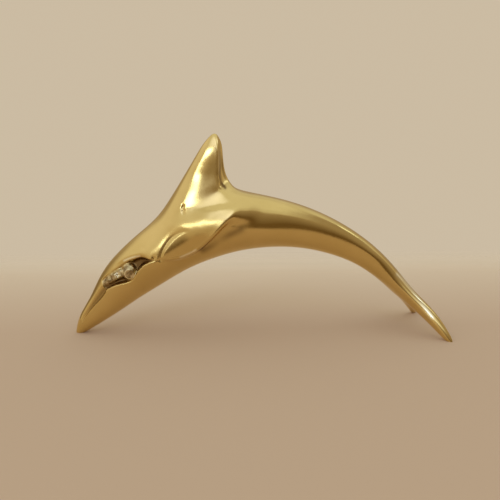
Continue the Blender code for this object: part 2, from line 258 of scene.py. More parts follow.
def body_ring(section):
    """The near half of one body section, from the back down to the belly."""
    tilt = math.radians(section.tilt)
    up = Vector((-math.sin(tilt), 0.0, math.cos(tilt)))
    middle = Vector((section.x, 0.0, section.z))
    diagonal = math.cos(math.pi / HALF_STEPS)
    shoulder = section.full * 3.0 / (2.0 + diagonal)
    axis = 1.5 - diagonal * shoulder / 2.0
    ring = []
    for step in range(HALF_STEPS + 1):
        angle = math.pi * (0.5 - step / HALF_STEPS)
        grow = shoulder if step % 2 else axis
        out = math.cos(angle) * grow
        rise = (math.sin(angle) + section.lift * math.cos(angle) ** 2) * grow
        ring.append(middle + up * (rise * section.half_depth) + SIDE * (out * section.half_width))
    return ring


def add_body(cage):
    """The lofted body, open along the back under the fin."""
    rings = []
    for index, section in enumerate(BODY):
        points = body_ring(section)
        if FIN_FRONT < index < FIN_REAR:
            rings.append([None] + cage.add(points[1:]))
        else:
            rings.append(cage.add(points))
    for index in range(len(rings) - 1):
        first = 1 if FIN_FRONT <= index < FIN_REAR else 0
        cage.bridge(rings[index][first:], rings[index + 1][first:])
    return rings


def close_beak(cage, ring):
    """The blunt end of the beak, as faces round a point on the plane of symmetry."""
    middle = (cage.points[ring[0]] + cage.points[ring[-1]]) / 2.0
    centre = cage.add([middle])[0]
    for start in range(0, HALF_STEPS, 2):
        cage.faces.append((centre, ring[start + 2], ring[start + 1], ring[start]))


def fin_ring(level):
    """The near half of one level of the dorsal fin, from its front to its rear edge."""
    front = Vector((level.front_x, 0.0, level.front_z))
    rear = Vector((level.rear_x, 0.0, level.rear_z))
    halves = (level.front, level.mid, level.ridge, level.channel)
    flank = [front.lerp(rear, share) + SIDE * half for share, half in zip(FIN_CHORD, halves)]
    return [front] + flank + [rear]


def add_fin(cage, rings):
    """The dorsal fin, grown from the hole along the back."""
    rim = [rings[FIN_FRONT][0]]
    rim += [rings[index][1] for index in range(FIN_FRONT, FIN_REAR + 1)]
    rim.append(rings[FIN_REAR][0])
    levels = [rim] + [cage.add(fin_ring(level)) for level in FIN]
    for lower, upper in zip(levels, levels[1:]):
        cage.bridge(lower, upper)
    for lower, upper in zip(levels[1:], levels[2:]):
        cage.crease(lower[FIN_RIDGE], upper[FIN_RIDGE], FIN_RIDGE_CREASE)
    top = levels[-1]
    front, rear = cage.points[top[0]], cage.points[top[-1]]
    rise = Vector((0.0, 0.0, FIN_TIP_RISE))
    ahead, behind = cage.add([front.lerp(rear, share) + rise for share in FIN_TIP_CHORD])
    cage.faces.append((top[0], top[1], top[2], ahead))
    cage.faces.append((ahead, top[2], top[3], behind))
    cage.faces.append((behind, top[3], top[4], top[5]))


def fluke_frame():
    """The fork, the way from it to the tips, and the direction square to the blade."""
    fork = Vector((FORK.x, 0.0, FORK.z))
    run = Vector((FLUKE_TIP_X, 0.0, FLUKE_TIP_Z)) - fork
    up = Vector((-run.z, 0.0, run.x)).normalized()
    return fork, run, up


def fluke_ring(blade):
    """One closed section of the near fluke."""
    fork, run, up = fluke_frame()
    half_span = FLUKE_SPAN / 2.0
    bow = up * blade.bow
    lead = fork + run * blade.lead_run + SIDE * (blade.lead_out * half_span) + bow
    trail = fork + run * blade.trail_run + SIDE * (blade.trail_out * half_span) + bow
    upper = []
    lower = []
    for share, thick in zip(BLADE_CHORD, BLADE_THICK):
        point = lead.lerp(trail, share)
        upper.append(point + up * (thick * blade.half_thick))
        lower.append(point - up * (thick * blade.half_thick))
    return upper + [lead] + lower[::-1] + [trail]


def add_fluke(cage, fork_ring):
    """The near fluke, which leaves the half ring at the fork as a closed blade."""
    fork, run = fluke_frame()[:2]
    notch = cage.add([fork + run.normalized() * NOTCH_DEPTH])
    rings = [fork_ring + notch] + [cage.add(fluke_ring(blade)) for blade in FLUKE]
    for near, far in zip(rings, rings[1:]):
        cage.bridge(near, far, closed=True)
    upper_rear, upper_lead, lead, lower_lead, lower_rear, trail = rings[-1]
    cage.faces.append((upper_rear, upper_lead, lower_lead, lower_rear))
    cage.faces.append((upper_lead, lead, lower_lead))
    cage.faces.append((trail, upper_rear, lower_rear))


def skin_mesh(levels):
    """The plain skin of body, fin and flukes as a mesh, smoothed by so many steps."""
    cage = Cage()
    rings = add_body(cage)
    close_beak(cage, rings[0])
    add_fin(cage, rings)
    add_fluke(cage, rings[-1])
    figure = cage.to_object("skin_cage")
    bpy.context.scene.collection.objects.link(figure)
    mirror = figure.modifiers.new("other_side", "MIRROR")
    mirror.use_axis = (False, True, False)
    mirror.merge_threshold = MERGE
    skin = figure.modifiers.new("skin", "SUBSURF")
    skin.levels = levels
    skin.render_levels = levels
    bpy.context.view_layer.update()
    ready = figure.evaluated_get(bpy.context.evaluated_depsgraph_get())
    mesh = bpy.data.meshes.new_from_object(ready)
    bpy.data.objects.remove(figure, do_unlink=True)
    return mesh


# Lines over the flank, as x and z of points along them. The front edge runs from the tip
# of the fin down to the tip of the flipper
FRONT_EDGE = (
    (62.3, 88.6), (63.1, 84.5), (63.9, 79.5), (64.0, 75.0), (63.3, 71.0), (63.6, 67.0),
    (65.4, 64.6), (68.0, 62.8), (70.4, 60.8), (71.4, 58.2), (70.0, 55.6), (67.6, 52.6),
    (65.0, 49.4), (62.2, 46.2), (58.8, 42.8), (55.4, 39.6), (51.4, 37.2), (46.8, 35.6),
    (42.0, 35.0),
)
CREASE = (
    (38.9, 35.4), (39.2, 37.0), (40.0, 39.2), (41.4, 41.6), (43.3, 44.0), (45.6, 45.9),
    (48.4, 47.2), (51.6, 47.9),
)
SHOULDER = (
    (62.5, 51.0), (56.0, 51.2), (50.0, 51.2), (44.0, 51.0), (37.0, 49.5), (29.0, 46.0),
)
UPPER_LIP = (
    (12.6, 21.4), (11.7, 23.4), (11.6, 25.2), (13.3, 27.1), (16.2, 29.4), (18.9, 31.5),
    (21.8, 33.5), (24.4, 34.9), (27.0, 35.8), (29.7, 36.4), (32.2, 36.1), (34.9, 35.6),
    (38.0, 35.4), (39.8, 35.2),
)
LOWER_LIP = (
    (11.2, 17.4), (13.6, 20.5), (16.4, 22.4), (19.8, 23.9), (23.3, 24.9), (25.9, 25.9),
    (27.5, 27.7), (28.6, 29.8), (30.1, 31.6), (32.0, 33.1), (34.4, 34.2), (36.9, 34.7),
    (39.8, 34.6),
)
MASS = ((12.0, 23.4), (14.4, 25.0), (17.2, 26.9), (20.2, 28.6), (23.0, 29.6))
MOUTH = (
    (1.8, 5.2), (2.8, 7.4), (4.2, 9.3), (6.3, 11.9), (8.5, 14.4), (10.5, 16.5),
    (12.1, 18.4), (13.6, 20.4),
)
POCKET = ((57.0, 38.9), (60.6, 40.8), (64.4, 43.4), (68.6, 46.0), (73.4, 48.4))

# The form along the front edge, at even steps: how far the front stands proud and how far
# ahead that reaches, the dip behind it, the swell of the shoulder and how far back that
# falls away, the raised rim, and over what width the edge drops
EDGE_PROUD = (
    0.0, 0.1, 0.2, 0.3, 0.4, 0.5, 0.5, 0.4, 0.3, 0.2, 0.2, 0.4, 0.6, 0.8, 0.9, 0.9, 0.8, 0.6, 0.3,
)
EDGE_REACH = (
    3.0, 3.0, 3.0, 3.5, 4.0, 5.0, 6.0, 7.0, 8.0, 8.0, 7.0, 6.0, 5.0, 4.0, 3.4, 2.8, 2.6, 2.4, 2.2,
)
EDGE_DIP = (
    0.0, 0.1, 0.2, 0.3, 0.4, 0.4, 0.3, 0.2, 0.1, 0.1, 0.1, 0.2, 0.4, 0.6, 0.7, 0.8, 0.6, 0.3, 0.1,
)
EDGE_SWELL = (
    0.0, 0.0, 0.0, 0.0, 0.0, 0.1, 0.2, 0.6, 1.1, 1.6, 1.9, 1.9, 1.7, 1.3, 0.9, 0.5, 0.2, 0.1, 0.0,
)
EDGE_FALL = (
    2.0, 2.0, 2.0, 2.0, 2.0, 3.0, 6.0, 10.0, 13.0, 13.0, 9.0, 3.0, 0.9, 0.8, 0.8, 0.8, 0.8, 0.8,
    0.8,
)
EDGE_RIM = (0.0,) * 11 + (0.05, 0.1, 0.15, 0.2, 0.35, 0.4, 0.35, 0.2)
EDGE_DROP = (
    0.9, 0.9, 0.9, 0.9, 0.9, 1.1, 1.8, 2.8, 3.4, 3.4, 2.6, 1.4, 0.9, 0.8, 0.8, 0.8, 0.8, 0.8, 0.8,
)
DIP_REACH = 2.4
SWELL_REACH = 18.0
SWELL_CURVE = 1.5
RIM_PLACE = 0.7
RIM_WIDTH = 0.55

# The shoulder's lower side, and the step and groove along the front of the flipper
SHOULDER_FALL = (0.0, 0.7, 0.95, 0.8, 0.4, 0.0)
SHOULDER_WIDTH = 8.0
CREASE_STEP = (0.1, 0.35, 0.45, 0.45, 0.4, 0.3, 0.15, 0.0)
CREASE_DEPTH = (0.3, 0.6, 0.65, 0.6, 0.5, 0.35, 0.2, 0.0)
STEP_REACH = 5.0
STEP_RISE = 0.5
GROOVE_INSIDE = 0.45
GROOVE_OUTSIDE = 0.8

# The hollow, at places along the figure: its depth, the width of its upper wall and where
# its upper lip is rounded over, beginning and ending
HOLLOW_ENDS = (11.0, 40.0)
HOLLOW_DEPTH = (
    (11.0, 0.5), (13.0, 1.5), (17.0, 2.0), (22.0, 2.4), (27.0, 3.0), (30.0, 3.2), (33.0, 2.2),
    (36.0, 1.2), (40.0, 0.3),
)
UPPER_WALL = ((12.0, 1.2), (20.0, 2.6), (27.0, 2.4), (31.0, 1.2), (36.0, 0.8))
LOWER_WALL = 0.7
LIP_BEGINS = (17.0, 22.0)
LIP_ENDS = (30.0, 34.0)
LIP_DROP = 0.5
LIP_WIDTH = 1.3

# The mass of metal left in the hollow, with lumps of a size, seed and height, the bulb of
# the eye at its end, and the eyeball in the bulb with a lid round it
MASS_WIDTH = (1.6, 2.2, 2.6, 2.8, 2.8)
MASS_HEIGHT = (0.5, 1.2, 1.7, 2.0, 2.0)
MASS_SIDES = (0.35, 1.0)
MASS_COVER = (0.15, 0.7)
LUMPS = ((1.7, 3, 0.55), (0.8, 4, 0.28))
SMOOTH_BULB = 0.75
BULB = (24.4, 29.5)
BULB_HALF = (3.5, 3.7)
BULB_HEIGHT = 2.9
BULB_FULL = (0.6, 1.6)
EYEBALL = (24.9, 28.7)
EYEBALL_SUNK = 0.3
EYEBALL_SIDES = (0.8, 2.0)
LID_RADIUS = 2.1
LID_WIDTH = 0.38
LID_HEIGHT = 0.5

# The line of the mouth: a step along the lower jaw, and a valley that fades above it
MOUTH_DEPTH = (0.1, 0.5, 0.8, 1.1, 1.4, 1.6, 1.8, 1.8)
MOUTH_WIDTH = (0.7, 1.3, 1.8, 2.4, 2.9, 3.3, 3.6, 3.6)
JAW_STEP = 0.5
VALLEY = (-0.3, 1.0)

# Ridges, channels and marks: a line, how strong it is along its length, and its half width
Ridge = namedtuple("Ridge", "points heights width")
LOW_FLANK = Ridge(
    ((68.0, 45.6), (74.0, 46.4), (81.0, 46.2), (88.0, 45.2), (95.0, 43.8), (103.0, 41.6),
     (111.0, 38.6)),
    (0.0, 0.6, 0.85, 0.85, 0.6, 0.3, 0.0), 4.8,
)
KEEL = Ridge(
    ((112.0, 48.5), (120.0, 44.6), (128.0, 39.6), (137.0, 33.7), (143.0, 28.2), (148.0, 23.0)),
    (0.0, 0.2, 0.4, 0.55, 0.5, 0.0), 2.0,
)
DISH = Ridge(
    ((45.6, 38.8), (49.2, 40.4), (52.8, 42.0), (56.8, 43.8), (60.8, 46.0)),
    (0.1, 0.25, 0.35, 0.3, 0.1), 2.3,
)
POCKET_SUNK = Ridge(POCKET, (0.3, 0.6, 0.6, 0.5, 0.0), 2.2)
# Painted shade along the pocket behind the flipper
POCKET_SHADE = Ridge(POCKET, (0.7, 0.5, 0.2, 0.6, 0.6), 1.6)
# Painted shade along the channel at the fin's rear base
FIN_CHANNEL = Ridge(
    ((64.9, 81.0), (65.0, 75.5), (64.6, 71.4), (65.3, 68.2), (67.0, 65.8)),
    (0.2, 0.5, 0.6, 0.8, 1.0), 0.6,
)
PIT_MARK = Ridge(
    ((48.6, 58.6), (48.9, 58.0), (48.3, 57.3), (48.9, 56.6), (48.5, 55.9), (48.9, 55.3)),
    (0.6, 0.6), 0.34,
)
STREAK = Ridge(((60.5, 53.4), (62.0, 54.3), (64.6, 55.3), (67.2, 56.4)), (0.12, 0.12), 0.5)
SATIN = Ridge(
    ((38.0, 38.0), (44.0, 43.0), (52.0, 47.5), (62.0, 49.5), (74.0, 50.0)), (1.0, 1.0), 6.0,
)
# Painted highlights: on the hollow's lip, the flipper's rim, the near fluke and the eye's mass
LIP_GLINT = Ridge(((22.4, 34.3), (24.3, 35.2), (26.8, 36.1), (29.4, 36.7)), (1.0, 1.0), 0.4)
RIM_GLINT = Ridge(((47.4, 36.4), (49.6, 37.3), (52.0, 38.4), (54.0, 39.6)), (0.8, 0.8), 0.4)
FLUKE_GLINT = Ridge(
    ((144.6, 26.6), (148.0, 23.6), (151.2, 19.6), (154.4, 14.6), (157.4, 9.6)), (1.0, 1.0), 0.8,
)
EYE_GLINTS = (
    Ridge(((18.2, 28.0), (20.0, 29.2), (21.8, 29.9)), (0.8, 0.8), 0.3),
    Ridge(((16.6, 24.5), (19.2, 25.3), (21.2, 26.4)), (0.8, 0.8), 0.3),
)
# Painted highlight in an arc round the eyeball, its radius and half width, and how much the
# highlights dim inside the hollow
EYE_ARC_RADIUS = 2.2
EYE_ARC_WIDTH = 0.35
DIAGONAL = 0.7
TINY = 0.01
DULL_IN_HOLLOW = 0.6

# Small pits as x, z and depth, and the disc round the largest pit
SMALL_PITS = (
    (36.0, 36.1, 0.75), (38.6, 35.2, 0.6), (40.9, 34.8, 0.4), (56.9, 50.5, 0.25),
    (31.2, 40.2, 0.25),
)
SMALL_PIT_WIDTH = 0.55
PIT_CENTRE = (49.2, 57.2)
PIT_ROOM = 3.0

# Lines that need finer faces, how far to each side, and how far from the plane of symmetry
FINE_LINES = (
    (FRONT_EDGE[10:], 1.6), (CREASE, 1.6), (UPPER_LIP, 1.4), (LOWER_LIP, 1.4), (MOUTH, 2.0),
)
FINE_FROM_MIDDLE = 0.8

# How far a surface has to face sideways, from none of the carving to all of it, and the
# same for the painted shade behind the flipper and on the fin, which lies on steeper surfaces too
FACING = (0.05, 0.45)
SHADE_FACING = (0.02, 0.2)

# The depths of the mouth's line between which painted shade darkens it, and how dark. The
# depths of carving between which the surface is evened out, and how much of the cast mass isn't
MOUTH_DARK = (0.3, 1.1)
MOUTH_SHADE = 0.55
CARVED = (0.02, 0.2)
KEPT_ROUGH = 0.8

# The marks that the carving leaves for the metal to read: as cast, painted shade, painted
# highlights and satin
MARKS = ("as_cast", "painted_shade", "painted_highlight", "satin")


def smoothstep(low, high, value):
    share = np.clip((value - low) / (high - low), 0.0, 1.0)
    return share * share * (3.0 - 2.0 * share)


def bell(value, width):
    return np.exp(-((value / width) ** 2))


def spline(points, steps=10):
    """A smooth run of points through the given ones."""
    ends = [2 * np.array(points[0]) - points[1]] + [np.array(p) for p in points]
    ends.append(2 * np.array(points[-1]) - points[-2])
    run = []
    for before, start, end, after in zip(ends, ends[1:], ends[2:], ends[3:]):
        for share in np.arange(steps) / steps:
            run.append(
                0.5 * (2 * start + (end - before) * share
                       + (2 * before - 5 * start + 4 * end - after) * share ** 2
                       + (3 * start - before - 3 * end + after) * share ** 3)
            )
    run.append(np.array(points[-1], float))
    return np.array(run)


class Line:
    """How far each spot of the flank is from a line, on which side, and how far along."""

    def __init__(self, points, spots):
        run = spline(points)
        self.off = np.full(len(spots), np.inf)
        self.side = np.zeros(len(spots))
        self.along = np.zeros(len(spots))
        count = len(run) - 1
        for index in range(count):
            start, way = run[index], run[index + 1] - run[index]
            rel = spots - start
            share = np.clip(rel @ way / (way @ way), 0.0, 1.0)
            apart = rel - share[:, None] * way
            off = np.hypot(apart[:, 0], apart[:, 1])
            nearer = off < self.off
            self.off[nearer] = off[nearer]
            self.along[nearer] = (index + share[nearer]) / count
            cross = way[0] * rel[:, 1] - way[1] * rel[:, 0]
            self.side[nearer] = np.sign(cross[nearer])
        self.signed = self.off * self.side

    def height(self, values):
        """Values given at even steps along the line, read at each spot's place on it."""
        return np.interp(self.along, np.linspace(0.0, 1.0, len(values)), values)


def ridge_field(spots, ridge):
    """How strong a ridge is at each spot."""
    line = Line(ridge.points, spots)
    return line.height(ridge.heights) * bell(line.off, ridge.width)


def distance(spots, place):
    return np.hypot(spots[:, 0] - place[0], spots[:, 1] - place[1])


def rough(points, scale, seed):
    """Even noise over the surface, between about -1 and 1."""
    shift = Vector((seed * 17.3, seed * 5.1, seed * 9.7))
    return np.array([noise.noise(Vector(point) / scale + shift) for point in points])


def front_field(spots):
    """The front of fin, shoulder and flipper stands proud, soft above and sharp below."""
    edge = Line(FRONT_EDGE, spots)
    ahead = np.maximum(-edge.signed, 0.0)
    behind = np.maximum(edge.signed, 0.0)
    proud = edge.height(EDGE_PROUD)
    swell = edge.height(EDGE_SWELL)
    width = edge.height(EDGE_DROP)
    ramp = np.clip(1.0 - ahead / SWELL_REACH, 0.0, 1.0) ** SWELL_CURVE
    front = proud * np.exp(-ahead / edge.height(EDGE_REACH)) + swell * ramp
    front += edge.height(EDGE_RIM) * bell(ahead - RIM_PLACE, RIM_WIDTH)
    drop = smoothstep(0.0, 1.0, behind / width)
    rear = proud * (1.0 - drop)
    rear += swell * (1.0 - smoothstep(0.0, 1.0, behind / edge.height(EDGE_FALL)))
    rear -= edge.height(EDGE_DIP) * drop * np.exp(-np.maximum(behind - width, 0.0) / DIP_REACH)
    rear -= ridge_field(spots, POCKET_SUNK) * (edge.signed > 0.0) * drop
    return np.where(edge.signed < 0.0, front, rear)


def flank_field(spots):
    """The shoulder's lower side, the full flank behind the flipper and the keel of the tail."""
    shoulder = Line(SHOULDER, spots)
    fall = shoulder.height(SHOULDER_FALL) * smoothstep(0.0, SHOULDER_WIDTH, shoulder.signed)
    return ridge_field(spots, LOW_FLANK) - fall + ridge_field(spots, KEEL)


def flipper_field(spots):
    """The step and groove along the front of the flipper and the dish of its face."""
    crease = Line(CREASE, spots)
    inside = -crease.signed
    step = crease.height(CREASE_STEP) * np.exp(-np.maximum(inside, 0.0) / STEP_REACH)
    sides = bell(crease.off, np.where(inside > 0.0, GROOVE_INSIDE, GROOVE_OUTSIDE))
    groove = crease.height(CREASE_DEPTH) * sides
    return step * smoothstep(0.0, STEP_RISE, inside) - groove - ridge_field(spots, DISH)


def hollow_field(spots):
    """The hollow round the eye: its sunk floor, and how far inside it each spot is."""
    upper = Line(UPPER_LIP, spots)
    lower = Line(LOWER_LIP, spots)
    first, last = HOLLOW_ENDS
    along = spots[:, 0]
    between = (upper.side < 0.0) & (lower.side > 0.0) & (along > first) & (along < last)
    below = np.where(between, upper.off, 0.0)
    above = np.where(between, lower.off, 0.0)
    depth = np.interp(along, *zip(*HOLLOW_DEPTH))
    slope = np.interp(along, *zip(*UPPER_WALL))
    wall = smoothstep(0.0, 1.0, below / slope) * smoothstep(0.0, LOWER_WALL, above)
    at_lip = smoothstep(*LIP_BEGINS, along) * (1.0 - smoothstep(*LIP_ENDS, along))
    beyond = np.where(between, 1.0, 1.0 - smoothstep(0.0, LIP_WIDTH, upper.off))
    return -depth * wall - LIP_DROP * at_lip * beyond * (lower.side > 0.0), wall


def eye_field(spots, points):
    """The rough mass in the hollow with the bulb of the eye at its end, and where it is."""
    mass = Line(MASS, spots)
    sides = smoothstep(*MASS_SIDES, mass.off / mass.height(MASS_WIDTH))
    body = mass.height(MASS_HEIGHT) * (1.0 - sides)
    rel = (spots - np.array(BULB)) / np.array(BULB_HALF)
    dome = 1.0 - rel[:, 0] ** 2 - rel[:, 1] ** 2
    bulb = BULB_HEIGHT * np.sqrt(np.clip(dome, 0.0, 1.0))
    off = distance(spots, EYEBALL)
    lid = LID_HEIGHT * bell(off - LID_RADIUS, LID_WIDTH)
    lid -= EYEBALL_SUNK * (1.0 - smoothstep(*EYEBALL_SIDES, off))
    form = np.maximum(bulb, body)
    cover = smoothstep(*MASS_COVER, form)
    on_bulb = smoothstep(*BULB_FULL, bulb)
    lumps = sum(rough(points, size, seed) * height for size, seed, height in LUMPS)
    return form + lid * on_bulb + lumps * cover * (1.0 - SMOOTH_BULB * on_bulb), cover


def mouth_field(spots):
    """The line of the mouth: a wide valley, deepest along the edge of the lower jaw."""
    line = Line(MOUTH, spots)
    over_jaw = line.signed
    steep = 1.0 - smoothstep(0.0, JAW_STEP, -over_jaw)
    gentle = 1.0 - smoothstep(*VALLEY, over_jaw / line.height(MOUTH_WIDTH))
    at_jaw = 1.0 - smoothstep(*VALLEY, 0.0)
    return -line.height(MOUTH_DEPTH) * np.where(over_jaw > 0.0, gentle / at_jaw, steep)


def pit_field(spots, near_side):
    """Pits that the casting left, the largest of them on the near side only."""
    field = -ridge_field(spots, PIT_MARK) * near_side
    for x, z, depth in SMALL_PITS:
        field -= depth * bell(distance(spots, (x, z)), SMALL_PIT_WIDTH)
    return field - ridge_field(spots, STREAK)


def painted_shade_marks(spots, facing, across, inside, cover, mouth):
    """Where shade is painted dark: in the hollow and the mouth, behind the flipper and on the
    fin.
    """
    painted_shade = np.clip(inside * (1.0 - cover), 0.0, 1.0) * facing
    painted_shade = np.maximum(painted_shade, smoothstep(*MOUTH_DARK, -mouth) * MOUTH_SHADE * facing)
    shaded_band = np.maximum(ridge_field(spots, POCKET_SHADE), ridge_field(spots, FIN_CHANNEL))
    return np.maximum(painted_shade, shaded_band * smoothstep(*SHADE_FACING, across))


def painted_highlight_marks(spots, inside, cast):
    """Where highlights are painted bright: the hollow's lip, the flipper's rim, a fluke, the eye.
    """
    lips = np.maximum(ridge_field(spots, LIP_GLINT), ridge_field(spots, RIM_GLINT))
    painted_highlight = np.maximum(lips * (1.0 - DULL_IN_HOLLOW * inside), ridge_field(spots, FLUKE_GLINT))
    rel = spots - np.array(EYEBALL)
    off = distance(spots, EYEBALL)
    low_left = -(rel[:, 0] + rel[:, 1]) / np.maximum(off, TINY) * DIAGONAL
    glint = bell(off - EYE_ARC_RADIUS, EYE_ARC_WIDTH) * smoothstep(0.0, DIAGONAL, low_left)
    for ridge in EYE_GLINTS:
        glint = np.maximum(glint, ridge_field(spots, ridge))
    return np.maximum(painted_highlight, glint * cast)


def carving(points, normals):
    """How far each point moves out sideways, where it is as cast or satin, and where shade and
    highlights are painted.
    """
    spots = points[:, (0, 2)]
    side = np.where(points[:, 1] < 0.0, -1.0, 1.0)
    hollow, inside = hollow_field(spots)
    eye, cover = eye_field(spots, points)
    mouth = mouth_field(spots)
    form = front_field(spots) + flipper_field(spots) + flank_field(spots)
    form += np.minimum(mouth, hollow) + eye * inside
    form += pit_field(spots, side < 0.0)
    across = np.abs(normals[:, 1])
    facing = smoothstep(*FACING, across)
    cast = cover * inside * facing
    # Painted shade: where the colour is darkened in the hollow, the mouth, the pocket and the
    # fin's channel
    painted_shade = painted_shade_marks(spots, facing, across, inside, cover, mouth)
    # Painted highlights: where the colour is brightened along lips, the rim, a fluke and the eye
    painted_highlight = painted_highlight_marks(spots, inside, cast)
    satin = ridge_field(spots, SATIN) * facing
    return side * form * facing, dict(zip(MARKS, (cast, painted_shade, painted_highlight, satin)))


def refined(mesh):
    """Finer faces where the carving is."""
    work = bmesh.new()
    work.from_mesh(mesh)
    work.verts.ensure_lookup_table()
    points = np.array([v.co for v in work.verts]) / MM + np.array(ORIGIN)
    spots = points[:, (0, 2)]
    near = hollow_field(spots)[1] > 0.0
    for line, room in FINE_LINES:
        near |= Line(line, spots).off < room
    near |= distance(spots, PIT_CENTRE) < PIT_ROOM
    near &= np.abs(points[:, 1]) > FINE_FROM_MIDDLE
    edges = [e for e in work.edges if near[e.verts[0].index] and near[e.verts[1].index]]
    bmesh.ops.subdivide_edges(work, edges=edges, cuts=1, use_grid_fill=True)
    bmesh.ops.triangulate(work, faces=[f for f in work.faces if len(f.verts) > 4])
    work.to_mesh(mesh)
    work.free()


def snapped(mesh, true_mesh):
    """The place of every point on the fully smoothed skin."""
    true_skin = bmesh.new()
    true_skin.from_mesh(true_mesh)
    tree = BVHTree.FromBMesh(true_skin)
    true_skin.free()
    return np.array([tree.find_nearest(vertex.co)[0] for vertex in mesh.vertices])


def point_normals(mesh):
    values = np.zeros(len(mesh.vertices) * 3, np.float32)
    mesh.vertex_normals.foreach_get("vector", values)
    return values.reshape(-1, 3).astype(float)


def relaxed(mesh, places, weight):
    """Evens out the carved surface a little, as polishing does."""
    ends = np.zeros(len(mesh.edges) * 2, np.int64)
    mesh.edges.foreach_get("vertices", ends)
    ends = ends.reshape(-1, 2)
    count = np.bincount(ends.ravel(), minlength=len(places)).astype(float)
    for round_done in range(RELAX_ROUNDS):
        total = np.zeros_like(places)
        for axis in range(3):
            total[:, axis] = np.bincount(ends[:, 0], places[ends[:, 1], axis], len(places))
            total[:, axis] += np.bincount(ends[:, 1], places[ends[:, 0], axis], len(places))
        places = places + weight[:, None] * RELAX_STEP * (total / count[:, None] - places)
    return places


def build_casting():
    """The fine skin with its carving, on three flat feet, kept within the solid's box."""
    mesh = skin_mesh(SKIN_LEVELS)
    refined(mesh)
    places = snapped(mesh, skin_mesh(TRUE_LEVELS))
    mesh.vertices.foreach_set("co", places.astype(np.float32).ravel())
    mesh.update()
    points = places / MM + np.array(ORIGIN)
    out, marks = carving(points, point_normals(mesh))
    places[:, 1] += out * MM
    carved = smoothstep(*CARVED, np.abs(out))
    places = relaxed(mesh, places, carved * (1.0 - KEPT_ROUGH * marks["as_cast"]))
    places = np.clip(places, cad_low, cad_high)
    mesh.vertices.foreach_set("co", places.astype(np.float32).ravel())
    for name, values in marks.items():
        layer = mesh.attributes.new(name, "FLOAT", "POINT")
        layer.data.foreach_set("value", values.astype(np.float32))
    mesh.shade_smooth()
    mesh.update()
    casting = bpy.data.objects.new("dolphin_casting", mesh)
    bpy.context.scene.collection.objects.link(casting)
    return casting


class Nodes:
    """Short names for making and joining shader nodes."""

    def __init__(self, tree):
        self.tree = tree

    def add(self, kind, **values):
        node = self.tree.nodes.new("ShaderNode" + kind)
        for name, value in values.items():
            setattr(node, name, value)
        return node

    def join(self, source, target):
        self.tree.links.new(source, target)

    def noise(self, place, scale, detail, roughness):
        node = self.add("TexNoise")
        node.inputs["Scale"].default_value = scale
        node.inputs["Detail"].default_value = detail
        node.inputs["Roughness"].default_value = roughness
        self.join(place, node.inputs["Vector"])
        return node.outputs["Fac"]

    def range(self, value, from_low, from_high, to_low=0.0, to_high=1.0):
        node = self.add("MapRange")
        node.inputs["From Min"].default_value = from_low
        node.inputs["From Max"].default_value = from_high
        node.inputs["To Min"].default_value = to_low
        node.inputs["To Max"].default_value = to_high
        self.join(value, node.inputs["Value"])
        return node.outputs["Result"]

    def math(self, operation, one, other):
        node = self.add("Math", operation=operation)
        for socket, value in zip(node.inputs, (one, other)):
            if isinstance(value, (int, float)):
                socket.default_value = value
            else:
                self.join(value, socket)
        return node.outputs["Value"]

    def product(self, *values):
        return reduce(lambda one, other: self.math("MULTIPLY", one, other), values)

    def greatest(self, *values):
        return reduce(lambda one, other: self.math("MAXIMUM", one, other), values)

    def mix(self, share, one, other):
        node = self.add("Mix", data_type="RGBA")
        self.join(share, node.inputs["Factor"])
        for socket, value in ((node.inputs[6], one), (node.inputs[7], other)):
            if isinstance(value, tuple):
                socket.default_value = value + (1.0,)
            else:
                self.join(value, socket)
        return node.outputs[2]

    def fade(self, share, one, other, target):
        """Two shaders mixed by a share and joined to a target."""
        node = self.add("MixShader")
        self.join(share, node.inputs[0])
        self.join(one, node.inputs[1])
        self.join(other, node.inputs[2])
        self.join(node.outputs[0], target)

    def axes(self, vector):
        split = self.add("SeparateXYZ")
        self.join(vector, split.inputs[0])
        return split.outputs

    def patch(self, axes, ramps):
        """A part of the room, as a product of ramps along the way into it."""
        return self.product(*[self.range(axes[axis], *ends) for axis, *ends in ramps])


def new_material(name):
    material = bpy.data.materials.new(name)
    material.use_nodes = True
    return material, Nodes(material.node_tree)


def brass_material():
    """Hand-polished brass, as cast in the hollow that polishing missed, with painted shade and
    painted highlights in its colour.
    """
    brass, nodes = new_material("polished_brass")
    shader = nodes.tree.nodes["Principled BSDF"]
    shader.inputs["Metallic"].default_value = 1.0
    place = nodes.add("TexCoord").outputs["Object"]
    cast, painted_shade, painted_highlight, satin = [
        nodes.add("Attribute", attribute_name=name).outputs["Fac"] for name in MARKS
    ]
    cloud = nodes.range(nodes.noise(place, *CLOUDS), *CLOUD_EDGE)
    patch = nodes.range(nodes.noise(place, *CAST_PATCHES), *PATCH_EDGE)
    colour = nodes.mix(cloud, BRASS_LIGHT, BRASS_DEEP)
    colour = nodes.mix(cast, colour, nodes.mix(patch, CAST_PALE, CAST_DARK))
    # Painted shade, mixed in as a dark brown
    colour = nodes.mix(nodes.product(painted_shade, SHADE_COVER), colour, SHADE_BROWN)
    # Painted highlights, mixed in as a pale colour
    colour = nodes.mix(painted_highlight, colour, HIGHLIGHT_PALE)
    nodes.join(colour, shader.inputs["Base Color"])
    roughness = nodes.greatest(
        nodes.range(nodes.noise(place, *SMEARS), *SMEAR_EDGE, *POLISH),
        nodes.product(cast, CAST_ROUGHNESS),
        nodes.product(painted_shade, RECESS_ROUGHNESS),
        nodes.product(satin, SATIN_ROUGHNESS),
    )
    nodes.join(roughness, shader.inputs["Roughness"])
    grain = nodes.product(
        nodes.noise(place, *CAST_GRAIN), nodes.product(cast, CAST_GRAIN_HEIGHT)
    )
    bump = nodes.add("Bump")
    bump.inputs["Strength"].default_value = 1.0
    bump.inputs["Distance"].default_value = BUMP_HEIGHT
    height = nodes.math("ADD", nodes.noise(place, *WAVES), grain)
    nodes.join(height, bump.inputs["Height"])
    nodes.join(bump.outputs["Normal"], shader.inputs["Normal"])
    return brass


